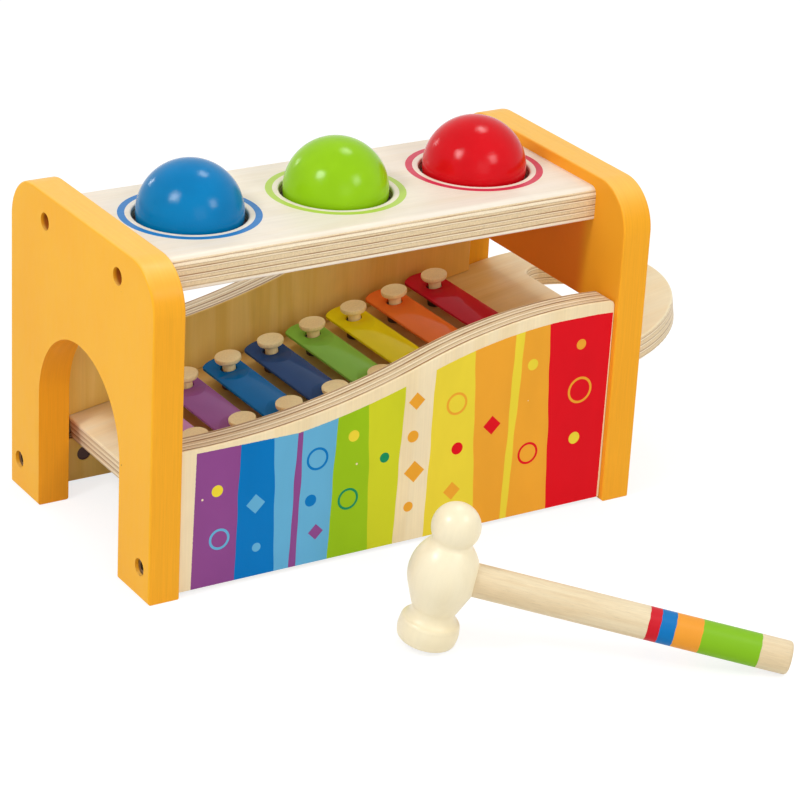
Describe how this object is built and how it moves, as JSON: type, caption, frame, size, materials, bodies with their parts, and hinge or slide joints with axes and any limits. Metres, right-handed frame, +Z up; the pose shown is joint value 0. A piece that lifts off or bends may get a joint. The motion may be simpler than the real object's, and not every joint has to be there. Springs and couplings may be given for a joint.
{
  "type": "pounding bench toy",
  "caption": "Wooden pounding bench: balls rest in a top board and are struck down onto a sloping xylophone tray that slides out; curved side panels, arched exit, loose mallet.",
  "frame": {"origin": "middle of the footprint of the bench and its mallet together, on the floor", "axes": "+X along the bench from the arched end to the tray's hand hole, +Y from the mallet's side to the back, +Z up"},
  "size_m": [0.2892, 0.2956, 0.162],
  "materials": {
    "end_paint": "plywood under smooth satin orange paint",
    "top_plywood": "clear lacquered plywood with a thin printed ring round each ball hole",
    "side_plywood": "clear lacquered plywood, with a bright printed pattern on the front panel's outer face",
    "tray_plywood": "clear lacquered plywood",
    "ball_blue_paint": "smooth satin blue paint",
    "ball_green_paint": "smooth satin green paint",
    "ball_red_paint": "smooth satin red paint",
    "ring_rubber": "soft black rubber",
    "sleeve_rubber": "dark rubber",
    "pin_wood": "turned pale wood, lightly lacquered",
    "dowel_wood": "plain beech",
    "bolt_steel": "zinc plated steel",
    "nut_steel": "dark plated steel",
    "screw_steel": "yellow zinc plated steel",
    "mallet_head_wood": "turned pale wood, glossy clear lacquer",
    "mallet_handle_wood": "pale wood dowel with painted colour bands",
    "bar_lilac_paint": "satin enamel on steel",
    "bar_purple_paint": "satin enamel on steel",
    "bar_blue_paint": "satin enamel on steel",
    "bar_navy_paint": "satin enamel on steel",
    "bar_green_paint": "satin enamel on steel",
    "bar_yellow_paint": "satin enamel on steel",
    "bar_orange_paint": "satin enamel on steel",
    "bar_red_paint": "satin enamel on steel"
  },
  "bodies": {
    "bench": {"left_end_panel": "end_paint", "right_end_panel": "end_paint", "top_board": "top_plywood", "front_panel": "side_plywood", "back_panel": "side_plywood", "panel_dowels": "dowel_wood", "top_screws": "screw_steel", "panel_bolts": "bolt_steel", "barrel_nuts": "nut_steel", "ball_ring_left": "ring_rubber", "ball_ring_middle": "ring_rubber", "ball_ring_right": "ring_rubber"},
    "tray": {"tray_board": "tray_plywood", "rear_bar_pins": "pin_wood", "front_bar_pins": "pin_wood", "rear_bar_sleeves": "sleeve_rubber", "front_bar_sleeves": "sleeve_rubber", "bar_lilac": "bar_lilac_paint", "bar_purple": "bar_purple_paint", "bar_blue": "bar_blue_paint", "bar_navy": "bar_navy_paint", "bar_green": "bar_green_paint", "bar_yellow": "bar_yellow_paint", "bar_orange": "bar_orange_paint", "bar_red": "bar_red_paint"},
    "blue_ball": {"ball_blue": "ball_blue_paint"},
    "green_ball": {"ball_green": "ball_green_paint"},
    "red_ball": {"ball_red": "ball_red_paint"},
    "mallet": {"mallet_head": "mallet_head_wood", "mallet_handle": "mallet_handle_wood"}
  },
  "joints": [
    {"name": "tray_slide", "type": "slide", "parent": "bench", "child": "tray", "axis": [0.9861, 0, 0.1664], "range_m": [0, 0.222]},
    {"name": "blue_ball_drop", "type": "slide", "parent": "bench", "child": "blue_ball", "axis": [0, 0, 1], "range_m": [-0.0689, 0.03], "deforming": ["ball_ring_left"]},
    {"name": "green_ball_drop", "type": "slide", "parent": "bench", "child": "green_ball", "axis": [0, 0, 1], "range_m": [-0.0567, 0.03], "deforming": ["ball_ring_middle"]},
    {"name": "red_ball_drop", "type": "slide", "parent": "bench", "child": "red_ball", "axis": [0, 0, 1], "range_m": [-0.0447, 0.03], "deforming": ["ball_ring_right"]},
    {"name": "mallet_lift", "type": "slide", "parent": "bench", "child": "mallet", "axis": [0, 0, 1], "range_m": [0, 0.15]}
  ]
}
